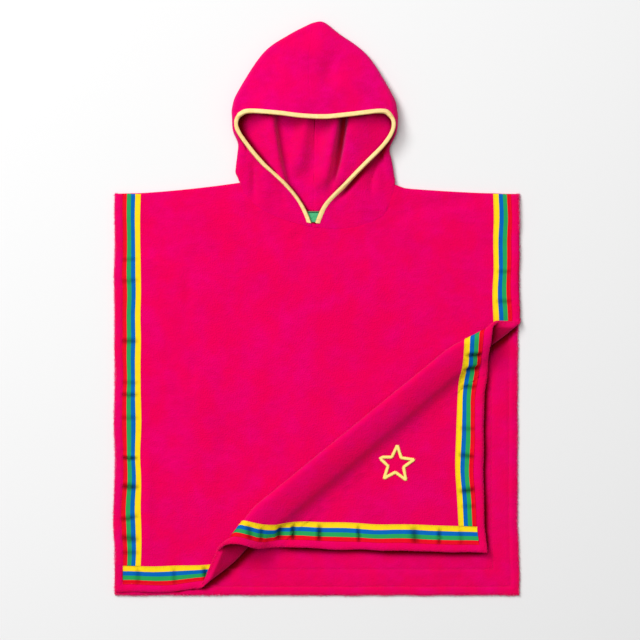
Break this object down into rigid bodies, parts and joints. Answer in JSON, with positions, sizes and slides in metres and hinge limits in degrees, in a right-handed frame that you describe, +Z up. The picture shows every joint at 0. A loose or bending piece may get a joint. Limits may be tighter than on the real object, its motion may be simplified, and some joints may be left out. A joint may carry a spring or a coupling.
{
  "type": "hooded bath poncho",
  "caption": "Child's hooded towelling poncho laid out flat, with a bound face opening, ribbon trim and one front corner pushed up into a soft pleat.",
  "frame": {"origin": "centre of the garment's outline seen from above, on the surface it lies on", "axes": "+X across the body towards its right edge as seen from above, +Y from the hem to the hood's point, +Z up out of the surface"},
  "size_m": [0.6012, 0.8514, 0.0448],
  "materials": {
    "terry": "looped cotton terry",
    "tape": "plain woven bias tape",
    "ribbon": "woven striped ribbon",
    "label": "plain woven label"
  },
  "bodies": {
    "root": {"back": "terry", "front": "terry", "hood_left": "terry", "hood_right": "terry", "hood_binding": "tape", "ribbon_front_left": "ribbon", "ribbon_front_right": "ribbon", "ribbon_front_hem": "ribbon", "neck_label": "label"}
  },
  "joints": []
}
